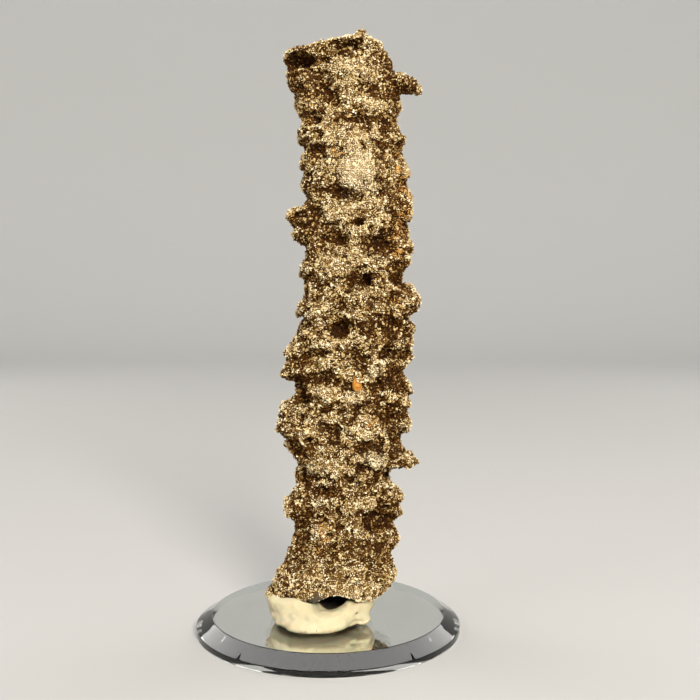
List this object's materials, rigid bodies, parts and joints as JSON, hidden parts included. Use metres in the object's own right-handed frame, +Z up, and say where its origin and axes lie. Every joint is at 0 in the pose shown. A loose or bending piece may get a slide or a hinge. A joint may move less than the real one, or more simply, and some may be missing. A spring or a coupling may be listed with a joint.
{
  "type": "fulgurite",
  "caption": "Upright hollow fulgurite tube with a knobbly fused-sand crust, standing in cream mounting putty on a round bevelled mirror.",
  "frame": {"origin": "centre of the round mirror's underside, on the surface that it stands on", "axes": "+Z up along the fulgurite, -Y towards the viewer, +X to the viewer's right"},
  "size_m": [0.0762, 0.0762, 0.1687],
  "materials": {
    "fused_sand": "rough crust of honey and pale quartz grains over dark brown glass, orange stained in places",
    "putty": "matt cream mounting putty with thumbed folds and faint grey smears",
    "glass": "clear polished glass with a bevelled edge",
    "backing": "silvered film seen through the glass"
  },
  "bodies": {
    "root": {"fulgurite": "fused_sand", "mounting_putty": "putty", "mirror_glass": "glass", "mirror_backing": "backing"}
  },
  "joints": []
}
